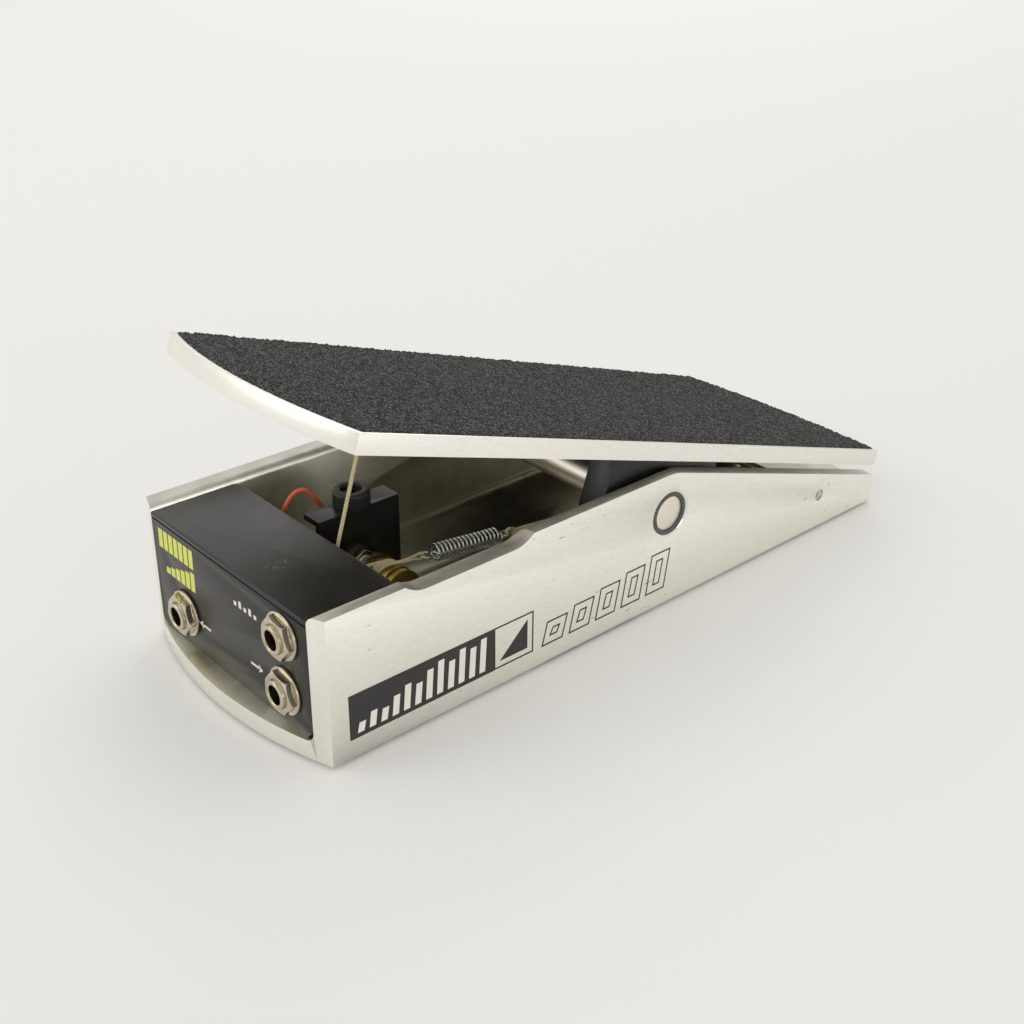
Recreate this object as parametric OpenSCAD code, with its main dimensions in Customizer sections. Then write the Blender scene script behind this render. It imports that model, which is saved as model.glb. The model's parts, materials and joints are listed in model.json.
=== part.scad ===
// Volume pedal: a channel base, a hinged footboard and a string drive to a rotary control.
// Rest pose is heel down. +X is the printed side, -Y the toe end with the jacks, +Z is up.

/* [Base channel] */
// Outside width of the base and the footboard
body_w = 101.6; // [98:0.2:106]
// Length over both curved ends
body_l = 279.4; // [276:0.2:286]
// Height of the side walls at the toe end
wall_h = 50.8; // [50:0.1:52]
// Thickness of the walls and the floor
wall_t = 6.35; // [5.6:0.05:6.6]
// Distance from the toe end to the bend in the wall tops
bend_y = 154; // [150:0.5:158]
// Height of the side walls at the heel end
heel_h = 11.25; // [10.5:0.05:12]
// How far the toe end bulges out
toe_bulge = 8.85; // [7:0.05:9]
// How far the heel end bulges out
heel_bulge = 5.24; // [4:0.02:6]
// Radius of the bend in the wall tops
bend_r = 20; // [15:1:24]
// Radius of the inside corners of the channel
inside_r = 3.2; // [2:0.1:3.4]
// Depth of the shallow notch in the top of the printed side's wall
notch_depth = 3.2; // [2:0.1:4]
// Cutter radius that leaves the notch's round ends
notch_cutter_r = 12.7; // [10:0.1:14]
// Cutter position at the toe end of a notch
notch_from_y = 46; // [45:0.5:48]
// Cutter position at the heel end of a notch
notch_to_y = 80; // [76:0.5:84]

/* [Feet] */
// Thickness of the rubber pads
foot_t = 1.5; // [1:0.1:3]
// Length of a rubber pad
foot_l = 45; // [30:1:46]
// Width of a rubber pad
foot_w = 16; // [10:1:20]

/* [Footboard] */
// Thickness of the footboard
board_t = 6.35; // [5.8:0.05:6.6]
// Thickness of the grip sheet
grip_t = 0.8; // [0.5:0.1:1]
// Tilt of the footboard at rest, toe up
tilt = 18.2; // [17.8:0.05:18.3]
// Gap from the grip sheet to the footboard's sides
grip_side_gap = 0.9; // [0.5:0.1:3]
// Gap from the grip sheet to the footboard's toe end
grip_toe_gap = 1.9; // [0.5:0.1:4]
// Gap from the grip sheet to the footboard's heel end
grip_heel_gap = 2.6; // [0.5:0.1:4]

/* [Pivot] */
// Distance from the toe end to the hinge axis
pivot_y = 152.2; // [151:0.1:153]
// Height of the hinge axis over the underside of the base
pivot_z = 35.4; // [35:0.1:36]
// Height of the footboard's underside over the hinge axis
board_drop = 19.3; // [19.1:0.05:20]
// Radius of the hinge shaft
shaft_r = 6.35; // [6:0.05:6.5]
// Radius of the bushing holes in the walls
bushing_r = 8; // [7.8:0.05:8.2]
// Half length of the hinge bracket along the footboard
bracket_half_l = 27.8; // [26:0.1:29]
// Thickness of the hinge bracket's two cheeks
cheek_t = 10.5; // [8:0.1:11]
// Height of the hinge bracket's web
web_t = 4; // [3:0.1:4.5]

/* [Jack box] */
// Distance from the toe end to the face of the jack plate
plate_y = 6.9; // [6.7:0.1:7.2]
// Thickness of the jack plate
plate_t = 2; // [1.5:0.1:2.2]
// Height of the cover's top face over the underside of the base
cover_z = 48.5; // [48.2:0.1:48.8]
// Thickness of the cover
cover_t = 1.6; // [1.2:0.1:1.7]
// Distance from the toe end to the cover's rear edge
cover_end_y = 39.3; // [38:0.1:40]
// Place of the input jack across the base
input_x = -27; // [-30:0.5:-24]
// Height of the input jack's axis
input_z = 18.3; // [17:0.1:24]
// Place of the output jack across the base
output_x = 31; // [28:0.5:33]
// Height of the output jack's axis
output_z = 18.4; // [17:0.1:19]
// Place of the tuner jack across the base
tuner_x = 31.4; // [28:0.2:33]
// Height of the tuner jack's axis
tuner_z = 37.9; // [37:0.1:38.5]
// Outside radius of a jack's threaded sleeve
sleeve_r = 4.7; // [4.6:0.05:4.8]
// Radius of the hole for the plug
plug_r = 3.2; // [3.18:0.01:3.3]

/* [Rotary control] */
// Distance from the toe end to the control's shaft
pot_y = 59.2; // [59:0.1:59.5]
// Height of the control's shaft over the underside of the base
pot_z = 26.6; // [26:0.1:27]
// Outer face of the upright bracket plate
pot_face_x = -2.1; // [-2.6:0.1:-1.6]
// Length of the bracket along the base
pot_bracket_l = 32; // [31:0.5:33]
// Height of the bracket's top over the underside of the base
pot_bracket_z = 48.6; // [48:0.1:49]
// Radius of the brass drum's rims
drum_r = 7.6; // [7.4:0.1:8]
// Radius of the drum under the string
drum_core_r = 6.2; // [6:0.1:6.4]
// Place of the drum's inner end across the base
drum_from_x = 5.9; // [5.7:0.1:6.1]
// Place of the drum's outer end across the base
drum_to_x = 20; // [19:0.5:22]

/* [String drive] */
// Diameter of the string
string_d = 1.4; // [1:0.1:1.5]
// Outside diameter of the spring coil
spring_d = 6.45; // [6:0.05:7]
// Distance from the toe end to the coil's toe end
coil_from_y = 78; // [77.5:0.5:79]
// Distance from the toe end to the coil's heel end
coil_to_y = 106; // [104:0.5:106.5]
// Distance from the toe end to the heel guide pin
heel_pin_y = 239; // [238.5:0.5:240]
// Height of the heel guide pin over the underside of the base
heel_pin_z = 13.7; // [13.5:0.1:14]
// Radius of the heel guide pin
heel_pin_r = 1.7; // [1.5:0.1:1.8]

/* [Hidden] */
eps = 0.01;
half_w = body_w / 2;
input_at = [input_x, input_z];
output_at = [output_x, output_z];
tuner_at = [tuner_x, tuner_z];
inner_x = half_w - wall_t;
toe_r = (pow(half_w, 2) + pow(toe_bulge, 2)) / (2 * toe_bulge);
heel_r = (pow(half_w, 2) + pow(heel_bulge, 2)) / (2 * heel_bulge);
heel_wall_y = body_l - heel_bulge;
slope = atan((wall_h - heel_h) / (heel_wall_y - bend_y));
bend_run = bend_r * tan(slope / 2);
grip_n = board_drop + board_t;
heel_reach = body_l - pivot_y;
origin_y = (pivot_y + heel_reach * cos(tilt) + grip_n * sin(tilt)) / 2;
floor_z = wall_t;
web_n = board_drop - web_t;
screw_seat_n = web_n - 4;
cheek_out_x = inner_x - 0.95;
cheek_low_n = -9;
cheek_corner_r = 8;
shaft_recess = 0.9;
shaft_chamfer = 0.15;
hinge_flare = 0.9;
pin_recess = 1.4;
pin_recess_step = 0.7;
bushing_flange_t = 0.7;
notch_z = wall_h - notch_depth;
foot_rows = [[34, 30], [117, 41.5], [248, 30]];
plate_top_z = cover_z - cover_t - 0.6;
plate_half_w = inner_x - 0.25;
flange_reach = 16;
sleeve_out = 4.6;
washer_r = 7.9;
washer_t = 1;
nut_t = 2.5;
nut_r = 7.33;
pot_t = 2;
pot_r = 12;
pot_depth = 10;
pot_sleeve_r = 4.7;
pot_shaft_r = 3.15;
pot_shaft_clear = 0.05;
pot_y0 = pot_y - pot_bracket_l / 2;
pot_ledge = 8.6;
drum_groove = [8.7, 14.3];
drum_step = [16.9, 17.7];
drum_step_r = 6.7;
drum_screw_x = (drum_groove[1] + drum_step[0]) / 2;
drum_screw_r = 1;
string_r = string_d / 2;
toe_string_x = 7;
turn_from_x = 9.8;
turn_pitch = 1.4;
turns = 3;
string_x = turn_from_x + (turns - 1) * turn_pitch;
top_string_z = pot_z + drum_core_r + string_r;
run_drop = (top_string_z - (heel_pin_z - heel_pin_r - string_r)) / (heel_pin_y - pot_y);
run_angle = atan(run_drop);
toe_pin_y = 45;
toe_pin_z = 36.5;
toe_pin_r = 2.3;
bumper_y = [pot_y, 254];
bumper_x = [pot_face_x - pot_ledge / 2, -10];
bumper_top_z = [54.3, 20.2];
bumper_r = 6.3;
toe_eye_s = -106.3;
heel_eye_s = 90;
eye_n = board_drop - 2.8;
plate_screw_at = [[-14, 18], [10, 18]];
bracket_screw_at = [[-15, 48.5], [-15, 70]];
floor_screw_at = concat(plate_screw_at, bracket_screw_at, [[bumper_x[1], bumper_y[1]]]);
board_screw_at = [[-38.2, -20], [-38.2, 20], [38.2, -20], [38.2, 20]];
m4_r = 2;
m4_head_r = 3.6;
fit_gap = 0.06;

// Routes of the strings and the wire, from end to end.
toe_route = [[toe_string_x, 56.2, 83.6], [toe_string_x, 52, 70.2], [toe_string_x, 48, 57.4],
    [toe_string_x, 44.5, 46.2], [toe_string_x, 42.4, 39.5], [toe_string_x, 42, 37.4],
    [toe_string_x, 42.2, 35.4], [toe_string_x, 43.2, 34.1], [toe_string_x, 45, 33.5],
    [(toe_string_x + turn_from_x) / 2, 50, 33.5], [turn_from_x, 54.4, 33.5]];
heel_route = [[string_x, 112.6, run_z(112.6)], [string_x, 160, run_z(160)], [string_x, 200, run_z(200)],
    [string_x, 238.6, run_z(238.6)], [string_x, 240.4, 11.7], [string_x, 241.4, 13],
    [string_x, 241.9, 15.5], [string_x, 242.5, 19], [string_x, 242.8, 21.8]];
wire_route = [[-27, 24, 23.5], [-27, 27, 24], [-26.4, 29, 26.6], [-25, 31.5, 31], [-23.9, 35, 35.4],
    [-23.2, 38.2, 38.8], [-22.2, 41, 42.5], [-21.4, 43.2, 47], [-20.7, 45.4, 50.4], [-19.9, 48, 51.9],
    [-19.2, 50.4, 51.2], [-18.3, 52.4, 48.7], [-17.2, 54.2, 45.4], [-15.6, 56.4, 42.6], [-14, 58, 41.2],
    [-12.4, 59.2, 40.4]];
wire_r = 0.8;

function run_z(y) = top_string_z - (y - pot_y) * run_drop;
function unit(v) = v / norm(v);
function along(p, i) = unit(p[min(i + 1, len(p) - 1)] - p[max(i - 1, 0)]);
function side(t) = unit(cross(t, abs(t[0]) > 0.9 ? [0, 0, 1] : [1, 0, 0]));
function ring(c, t, r, n) = let (a = side(t), b = cross(t, a))
    [for (k = [0 : n - 1]) c + r * (cos(360 * k / n) * a + sin(360 * k / n) * b)];

// A closed tube of n sides along a list of points.
module tube(p, r, n = 8) {
    last = (len(p) - 1) * n;
    polyhedron(
        points = [for (i = [0 : len(p) - 1]) each ring(p[i], along(p, i), r, n)],
        faces = concat(
            [[for (k = [0 : n - 1]) k]],
            [for (i = [0 : len(p) - 2]) for (k = [0 : n - 1])
                [i * n + (k + 1) % n, i * n + k, i * n + n + k, i * n + n + (k + 1) % n]],
            [[for (k = [n - 1 : -1 : 0]) last + k]]));
}

// Moves the object so that its origin is the centre of its footprint at rest.
module placed() {
    translate([0, -origin_y, foot_t]) children();
}

// Puts what is drawn about the hinge axis, with the board level, into the tilted rest position.
module on_board() {
    placed() translate([0, pivot_y, pivot_z]) rotate([-tilt, 0, 0]) children();
}

// A straight round bar along X from x0 to x1.
module bar_x(x0, x1, r, y = 0, z = 0) {
    translate([x0, y, z]) rotate([0, 90, 0]) cylinder(h = x1 - x0, r = r, $fn = 64);
}

// Turns a shape drawn in the Y-Z plane and extrudes it along X from x0 to x1.
module slab_x(x0, x1) {
    translate([x0, 0, 0]) rotate([90, 0, 90]) linear_extrude(x1 - x0) children();
}

// Turns a shape drawn in the X-Z plane and extrudes it along Y from y0 to y1.
module slab_y(y0, y1) {
    translate([0, y1, 0]) rotate([90, 0, 0]) linear_extrude(y1 - y0) children();
}

// Outline of the base and the footboard from above, less an inset at the sides, toe and heel.
module outline(at_sides = 0, at_toe = 0, at_heel = 0) {
    intersection() {
        translate([-half_w + at_sides, 0]) square([body_w - 2 * at_sides, body_l]);
        translate([0, toe_r]) circle(r = toe_r - at_toe, $fn = 180);
        translate([0, body_l - heel_r]) circle(r = heel_r - at_heel, $fn = 180);
    }
}

// Points of an arc about c from angle a0 to a1, measured from straight up towards +Y.
function arc(c, r, a0, a1, steps) = [for (k = [0 : steps])
    let (a = a0 + (a1 - a0) * k / steps) [c[0] + r * sin(a), c[1] + r * cos(a)]];

// Outline of the channel from the end: walls, floor and the rounded inside corners.
module channel_section() {
    r = inside_r;
    right = concat(
        [[half_w, 0], [half_w, wall_h]],
        arc([inner_x + r, wall_h - r], r, 0, -90, 8),
        arc([inner_x - r, floor_z + r], r, 90, 180, 8));
    left = [for (k = [len(right) - 1 : -1 : 0]) [-right[k][0], right[k][1]]];
    polygon(concat(right, left));
}

// Outline of the walls from the side, level to the bend and then falling to the heel.
module wall_side() {
    polygon(concat(
        [[-1, 0], [-1, wall_h]],
        arc([bend_y - bend_run, wall_h - bend_r], bend_r, 0, slope, 6),
        [[body_l + 1, wall_h - (body_l + 1 - bend_y) * tan(slope)], [body_l + 1, 0]]));
}

// Shallow notch through the top of the +X wall, with the round ends that a cutter leaves.
module notch() {
    c = notch_z + notch_cutter_r;
    reach = acos((notch_cutter_r - notch_depth - 1) / notch_cutter_r);
    slab_x(0, body_w) polygon(concat(
        arc([notch_from_y, c], notch_cutter_r, 180 + reach, 180, 8),
        arc([notch_to_y, c], notch_cutter_r, 180, 180 - reach, 8)));
}

module base_channel() {
    color("gainsboro") placed() difference() {
        intersection() {
            linear_extrude(wall_h) outline();
            slab_y(-1, body_l + 1) channel_section();
            slab_x(-half_w, half_w) wall_side();
        }
        notch();
        bar_x(-body_w, body_w, bushing_r, pivot_y, pivot_z);
        for (s = [-1, 1]) translate([s * half_w, 0, 0]) rotate([0, -90 * s, 0]) {
            translate([s * pivot_z, pivot_y, -eps])
                cylinder(h = hinge_flare / 2, r1 = bushing_r + hinge_flare, r2 = bushing_r, $fn = 64);
            translate([s * heel_pin_z, heel_pin_y, -eps])
                cylinder(h = pin_recess, r = heel_pin_r + pin_recess_step, $fn = 48);
        }
        bar_x(-body_w, body_w, heel_pin_r, heel_pin_y, heel_pin_z);
        for (p = floor_screw_at) translate([p[0], p[1], 0]) screw_space(floor_z);
    }
}

// Hole for a countersunk screw from below through a floor of the given thickness.
module screw_space(t) {
    translate([0, 0, -1]) cylinder(h = t + 2, r = m4_r, $fn = 32);
    translate([0, 0, -eps]) cylinder(h = m4_head_r - m4_r, r1 = m4_head_r, r2 = m4_r, $fn = 32);
}

module rubber_feet() {
    corner_r = 2;
    color("black") placed() for (row = foot_rows) for (s = [-1, 1])
        translate([s * row[1], row[0], -foot_t]) linear_extrude(foot_t) {
            square([foot_w, foot_l - 2 * corner_r], center = true);
            square([foot_w - 2 * corner_r, foot_l], center = true);
            for (x = [-1, 1]) for (y = [-1, 1])
                translate([x * (foot_w / 2 - corner_r), y * (foot_l / 2 - corner_r)]) circle(r = corner_r, $fn = 32);
        }
}

module pivot_bushings() {
    color([0.15, 0.15, 0.16]) placed() for (s = [-1, 1]) mirror([s < 0 ? 1 : 0, 0, 0]) difference() {
        union() {
            bar_x(inner_x - bushing_flange_t, half_w - 0.3, bushing_r, pivot_y, pivot_z);
            bar_x(inner_x - bushing_flange_t, inner_x, bushing_r + 2.5, pivot_y, pivot_z);
        }
        bar_x(inner_x - 5, half_w + 5, shaft_r + 0.05, pivot_y, pivot_z);
    }
}

module jack_plate() {
    corner = inside_r + 0.3;
    color([0.2, 0.2, 0.2]) placed() difference() {
        union() {
            slab_y(plate_y, plate_y + plate_t) polygon([
                [-plate_half_w, floor_z + corner], [-plate_half_w + corner, floor_z],
                [plate_half_w - corner, floor_z], [plate_half_w, floor_z + corner],
                [plate_half_w, plate_top_z], [-plate_half_w, plate_top_z]]);
            translate([-plate_half_w + corner, plate_y, floor_z])
                cube([2 * (plate_half_w - corner), flange_reach, plate_t]);
            translate([-plate_half_w, plate_y, plate_top_z - cover_t])
                cube([2 * plate_half_w, flange_reach / 2, cover_t]);
        }
        for (at = [input_at, output_at, tuner_at]) translate([at[0], plate_y + plate_t / 2, at[1]])
            rotate([90, 0, 0]) cylinder(h = 2 * plate_t, r = sleeve_r, center = true, $fn = 48);
        for (p = plate_screw_at) translate([p[0], p[1], 0]) screw_space(floor_z + plate_t);
    }
}

module jack_cover() {
    corner = 3;
    lip = 0.7;
    color([0.16, 0.16, 0.16]) placed() intersection() {
        linear_extrude(cover_z) union() {
            translate([-plate_half_w, plate_y - 0.2]) square([2 * plate_half_w, cover_end_y - corner - plate_y + 0.2]);
            translate([-plate_half_w + corner, 20]) square([2 * (plate_half_w - corner), cover_end_y - 20]);
            for (s = [-1, 1]) translate([s * (plate_half_w - corner), cover_end_y - corner])
                circle(r = corner, $fn = 48);
        }
        union() {
            slab_x(-plate_half_w, plate_half_w) {
                translate([plate_y - 0.2 + lip, cover_z - cover_t]) square([cover_end_y, cover_t]);
                translate([plate_y - 0.2, cover_z - cover_t]) square([cover_end_y, cover_t - lip]);
                translate([plate_y - 0.2 + lip, cover_z - lip]) circle(r = lip, $fn = 32);
            }
            for (s = [-1, 1]) translate([s * (plate_half_w - 0.8) - 0.8, 17, cover_z - 9])
                cube([1.6, 14, 9 - eps]);
        }
    }
}

// A 1/4 inch jack: threaded sleeve with a plug hole, collar, open frame and contact leaf.
module jack(at) {
    back_y = plate_y + plate_t;
    frame_l = 22;
    frame_w = 10;
    color("silver") placed() translate([at[0], 0, at[1]]) difference() {
        union() {
            translate([0, back_y + eps, 0]) rotate([90, 0, 0]) {
                cylinder(h = sleeve_out + plate_t + eps, r = sleeve_r, $fn = 48);
                translate([0, 0, -1.2]) cylinder(h = 1.2, r = 6.2, $fn = 48);
            }
            translate([-frame_w / 2, back_y + 1, -6.2]) cube([frame_w, frame_l, 1.2]);
            translate([-frame_w / 2, back_y + 1, -6.2]) cube([frame_w, 1.2, 10]);
            translate([-frame_w / 2, back_y + frame_l - 5, -6.2]) cube([frame_w, 6, 3]);
            translate([-2, back_y + 6, 3.7]) cube([4, frame_l - 8, 0.6]);
            translate([-2, back_y + frame_l - 3, -4]) cube([4, 1.2, 8.3]);
        }
        translate([0, plate_y - sleeve_out - 1, 0]) rotate([-90, 0, 0])
            cylinder(h = sleeve_out + plate_t + 4.2, r = plug_r, $fn = 48);
        translate([0, plate_y - sleeve_out - eps, 0]) rotate([-90, 0, 0])
            cylinder(h = 0.5, r1 = plug_r + 0.5, r2 = plug_r, $fn = 48);
    }
}

module input_jack() {
    jack(input_at);
}

module output_jack() {
    jack(output_at);
}

module tuner_jack() {
    jack(tuner_at);
}

module jack_washers() {
    color("silver") placed() for (at = [input_at, output_at, tuner_at])
        translate([at[0], plate_y, at[1]]) rotate([90, 0, 0]) difference() {
            cylinder(h = washer_t, r = washer_r, $fn = 64);
            translate([0, 0, -1]) cylinder(h = washer_t + 2, r = sleeve_r, $fn = 48);
        }
}

// A hexagon nut of the given across-corners radius on Z, with rounded outer corners.
module hex_nut(r, bore, t) {
    difference() {
        intersection() {
            cylinder(h = t, r = r, $fn = 6);
            cylinder(h = t, r1 = r - 0.15, r2 = r - 0.15 + eps, $fn = 48);
        }
        translate([0, 0, -1]) cylinder(h = t + 2, r = bore, $fn = 48);
    }
}

module jack_nuts() {
    color("silver") placed() for (at = [input_at, output_at, tuner_at])
        translate([at[0], plate_y - washer_t, at[1]]) rotate([90, 20, 0]) hex_nut(nut_r, sleeve_r, nut_t);
}

module pot_bracket() {
    foot_reach = 20;
    color([0.12, 0.12, 0.12]) placed() difference() {
        union() {
            translate([pot_face_x - pot_t, pot_y0, floor_z])
                cube([pot_t, pot_bracket_l, pot_bracket_z - floor_z]);
            translate([pot_face_x - pot_ledge, pot_y0, pot_bracket_z - pot_t])
                cube([pot_ledge, pot_bracket_l, pot_t]);
            translate([pot_face_x - foot_reach, pot_y0, floor_z]) cube([foot_reach, pot_bracket_l, pot_t]);
        }
        bar_x(pot_face_x - 2 * pot_t, pot_face_x + 1, pot_sleeve_r, pot_y, pot_z);
        bar_x(pot_face_x - 2 * pot_t, pot_face_x + 1, toe_pin_r / 2, toe_pin_y, toe_pin_z);
        translate([bumper_x[0], bumper_y[0], pot_bracket_z - 3 * pot_t])
            cylinder(h = 6 * pot_t, r = m4_r, $fn = 32);
        for (p = bracket_screw_at) translate([p[0], p[1], 0]) screw_space(floor_z + pot_t);
    }
}

module pot_body() {
    color("silver") placed() difference() {
        union() {
            bar_x(pot_face_x - pot_t - pot_depth, pot_face_x - pot_t, pot_r, pot_y, pot_z);
            bar_x(pot_face_x - pot_t - 1, drum_from_x - 0.6, pot_sleeve_r, pot_y, pot_z);
        }
        bar_x(pot_face_x - pot_t - 2, drum_to_x, pot_shaft_r + pot_shaft_clear, pot_y, pot_z);
    }
}

module pot_terminals() {
    lug = [1, 2.4, 7];
    color([0.75, 0.7, 0.6]) placed() for (k = [-1 : 1])
        translate([pot_face_x - pot_t - 7.5, pot_y + 5 * k - lug[1] / 2, pot_z + sqrt(pot_r * pot_r - 36) - 1.2])
            difference() {
                cube(lug);
                bar_x(-1, 2, 0.6, lug[1] / 2, lug[2] - 1.4);
            }
}

module pot_nut() {
    color("silver") placed() translate([pot_face_x, pot_y, pot_z]) rotate([0, 90, 0])
        hex_nut(nut_r, pot_sleeve_r, 2.2);
}

// A rubber bumper on Z from z0 to z1, with a stepped hole for its screw.
module bumper(x, y, z0, z1) {
    edge = 1;
    translate([x, y, 0]) rotate_extrude($fn = 64) difference() {
        union() {
            translate([0, z0]) square([bumper_r, z1 - z0 - edge]);
            translate([0, z0]) square([bumper_r - edge, z1 - z0]);
            translate([bumper_r - edge, z1 - edge]) circle(r = edge, $fn = 32);
        }
        translate([-1, z0 - 1]) square([1 + m4_r, z1 - z0 + 2]);
        translate([-1, z1 - 3.4]) square([1 + m4_head_r, 4]);
    }
}

module toe_bumper() {
    color([0.17, 0.15, 0.13]) placed() bumper(bumper_x[0], bumper_y[0], pot_bracket_z, bumper_top_z[0]);
}

module heel_bumper() {
    color([0.17, 0.15, 0.13]) placed() bumper(bumper_x[1], bumper_y[1], floor_z, bumper_top_z[1]);
}

// Cap screw whose head's underside is at z, with its shank down and a hexagon socket on top.
module cap_screw(z, shank, head_t = 2.2) {
    translate([0, 0, z]) difference() {
        union() {
            cylinder(h = head_t, r = m4_head_r - 0.1, $fn = 32);
            translate([0, 0, -shank]) cylinder(h = shank + eps, r = m4_r, $fn = 32);
        }
        translate([0, 0, 0.7]) cylinder(h = head_t, r = 1.7, $fn = 6);
    }
}

module bumper_screws() {
    shank = [bumper_top_z[0] - 3.4 - pot_bracket_z + pot_t + 2, bumper_top_z[1] - 3.4 - floor_z - 4];
    color([0.1, 0.1, 0.1]) placed() for (k = [0, 1])
        translate([bumper_x[k], bumper_y[k], 0]) cap_screw(bumper_top_z[k] - 3.4, shank[k]);
}

module floor_screws() {
    color("dimgray") placed() for (p = floor_screw_at) translate([p[0], p[1], 0]) difference() {
        union() {
            cylinder(h = m4_head_r - m4_r, r1 = m4_head_r - fit_gap, r2 = m4_r - fit_gap, $fn = 32);
            cylinder(h = floor_z + (p[1] > 200 ? -eps : pot_t + 3.6), r = m4_r - fit_gap, $fn = 32);
        }
        translate([0, 0, -eps]) cylinder(h = 1.2, r = 1.3, $fn = 6);
    }
}

module floor_nuts() {
    color("silver") placed() for (p = concat(plate_screw_at, bracket_screw_at))
        translate([p[0], p[1], floor_z + pot_t]) hex_nut(4.04, m4_r, 3.2);
}

module signal_wire() {
    color("orangered") placed() tube(wire_route, wire_r);
}

module toe_guide_pin() {
    head_x = toe_string_x + 2.7;
    color("silver") placed() {
        bar_x(pot_face_x - pot_t, pot_face_x + eps, toe_pin_r / 2, toe_pin_y, toe_pin_z);
        bar_x(pot_face_x, head_x, toe_pin_r, toe_pin_y, toe_pin_z);
        bar_x(head_x - eps, head_x + 1, toe_pin_r + 1.7, toe_pin_y, toe_pin_z);
    }
}

module heel_guide_pin() {
    color("silver") placed()
        bar_x(-half_w + pin_recess - 0.2, half_w - pin_recess + 0.2, heel_pin_r, heel_pin_y, heel_pin_z);
}

module toe_string() {
    color([0.93, 0.9, 0.78]) placed() tube(toe_route, string_r);
}

module spring_string() {
    color([0.93, 0.9, 0.78]) placed() tube([for (y = [64.8, 68.2, 71.5]) [string_x, y, run_z(y)]], string_r);
}

module heel_string() {
    color([0.8, 0.74, 0.58]) placed() tube(heel_route, string_r);
}

module pot_shaft() {
    color("silver") placed() bar_x(pot_face_x - pot_t - 1.8, drum_to_x - 3, pot_shaft_r, pot_y, pot_z);
}

module string_drum() {
    color("goldenrod") placed() difference() {
        union() {
            bar_x(drum_from_x, drum_groove[0], drum_r, pot_y, pot_z);
            bar_x(drum_from_x, drum_to_x, drum_core_r, pot_y, pot_z);
            bar_x(drum_groove[1], drum_step[0], drum_r, pot_y, pot_z);
            bar_x(drum_step[0], drum_step[1], drum_step_r, pot_y, pot_z);
            bar_x(drum_step[1], drum_to_x, drum_r, pot_y, pot_z);
        }
        bar_x(drum_from_x - 1, drum_to_x - 3, pot_shaft_r, pot_y, pot_z);
        translate([drum_screw_x, pot_y, pot_z - drum_r - 1]) cylinder(h = drum_r + 1, r = drum_screw_r, $fn = 32);
    }
}

module drum_screw() {
    color([0.1, 0.1, 0.1]) placed() translate([drum_screw_x, pot_y, pot_z]) rotate([180, 0, 0]) difference() {
        translate([0, 0, pot_shaft_r]) cylinder(h = drum_r - pot_shaft_r - 0.5, r = drum_screw_r, $fn = 32);
        translate([0, 0, drum_r - 1.8]) cylinder(h = 2, r = 0.55, $fn = 6);
    }
}

module string_turns() {
    color([0.93, 0.9, 0.78]) placed() translate([0, pot_y, pot_z]) rotate([0, 90, 0])
        rotate_extrude($fn = 64) {
            for (k = [0 : turns - 1])
                translate([drum_core_r + string_r, turn_from_x + k * turn_pitch]) circle(r = string_r, $fn = 24);
            translate([drum_core_r, turn_from_x - string_r / 2])
                square([string_r, (turns - 1) * turn_pitch + string_r]);
        }
}

// Puts a shape drawn along +Y from the coil's toe end onto the line from the drum to the heel pin.
module on_run(y) {
    placed() translate([string_x, y, run_z(y)]) rotate([-run_angle, 0, 0]) children();
}

// The spring's bent end: a flat loop of wire that reaches out along +Y.
module spring_loop() {
    wire = 0.9;
    loop_r = 2.1;
    stub_r = 0.38;
    translate([0, 3.1, 0]) rotate_extrude($fn = 48) translate([loop_r, 0]) circle(r = wire / 2, $fn = 16);
    translate([0, -0.3, 0]) rotate([-90, 0, 0]) cylinder(h = 1.3, r = stub_r, $fn = 16);
}

module spring_toe_loop() {
    color("silver") on_run(coil_from_y - 0.4) rotate([0, 0, 180]) spring_loop();
}

module spring_heel_loop() {
    color("silver") on_run(coil_to_y + 0.4) spring_loop();
}

// Outer shape of the tension coil.
module spring_coil() {
    coil_l = (coil_to_y - coil_from_y) / cos(run_angle);
    color("silver") on_run(coil_from_y) rotate([-90, 0, 0]) difference() {
        cylinder(h = coil_l, r = spring_d / 2, $fn = 48);
        translate([0, 0, -1]) cylinder(h = coil_l + 2, r = spring_d / 2 - 0.9, $fn = 48);
    }
}

module footboard() {
    color("gainsboro") on_board() difference() {
        translate([0, -pivot_y, board_drop]) linear_extrude(board_t) outline();
        for (p = board_screw_at) translate([p[0], p[1], board_drop - 1]) cylinder(h = 5, r = m4_r, $fn = 32);
        for (s = [toe_eye_s, heel_eye_s]) translate([eye_x(s), s, board_drop - 1]) cylinder(h = 5, r = 1.2, $fn = 32);
    }
}

module grip_sheet() {
    color([0.08, 0.08, 0.08]) on_board() translate([0, -pivot_y, grip_n]) linear_extrude(grip_t)
        outline(grip_side_gap, grip_toe_gap, grip_heel_gap);
}

// Side outline of a cheek of the hinge bracket, about the hinge axis.
module cheek_side() {
    l = bracket_half_l;
    r = cheek_corner_r;
    translate([-l, cheek_low_n + r]) square([2 * l, board_drop - cheek_low_n - r]);
    translate([-l + r, cheek_low_n]) square([2 * (l - r), r + eps]);
    for (s = [-1, 1]) translate([s * (l - r), cheek_low_n + r]) circle(r = r, $fn = 48);
}

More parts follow.
